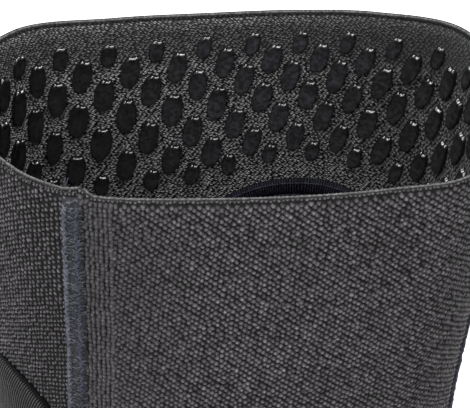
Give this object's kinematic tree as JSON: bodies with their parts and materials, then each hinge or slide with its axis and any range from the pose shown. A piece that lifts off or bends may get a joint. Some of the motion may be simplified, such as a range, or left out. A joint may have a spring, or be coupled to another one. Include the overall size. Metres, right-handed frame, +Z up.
{
  "type": "elbow guard",
  "caption": "Knitted elastic elbow guard: an open oval sleeve with flatlock side seams, printed grip ovals inside its top band, a sewn inner elbow pad and a ribbed side insert.",
  "frame": {"origin": "middle of the bounding box, on the surface that the lower rim stands on", "axes": "+Z up along the sleeve towards the wide top rim, -Y towards the viewer, +X to the viewer's right"},
  "size_m": [0.1062, 0.0668, 0.225],
  "materials": {
    "knit": "coarse charcoal elastic knit",
    "seam_thread": "blue-grey flatlock thread",
    "silicone": "glossy printed silicone",
    "pad_cloth": "matt black cloth",
    "ribbed_knit": "fine ribbed elastic knit"
  },
  "bodies": {
    "root": {"front_panel": "knit", "back_panel": "knit", "left_seam": "seam_thread", "right_seam": "seam_thread", "grip_dots_front": "silicone", "grip_dots_back": "silicone", "elbow_pad": "pad_cloth", "side_insert": "ribbed_knit"}
  },
  "joints": []
}
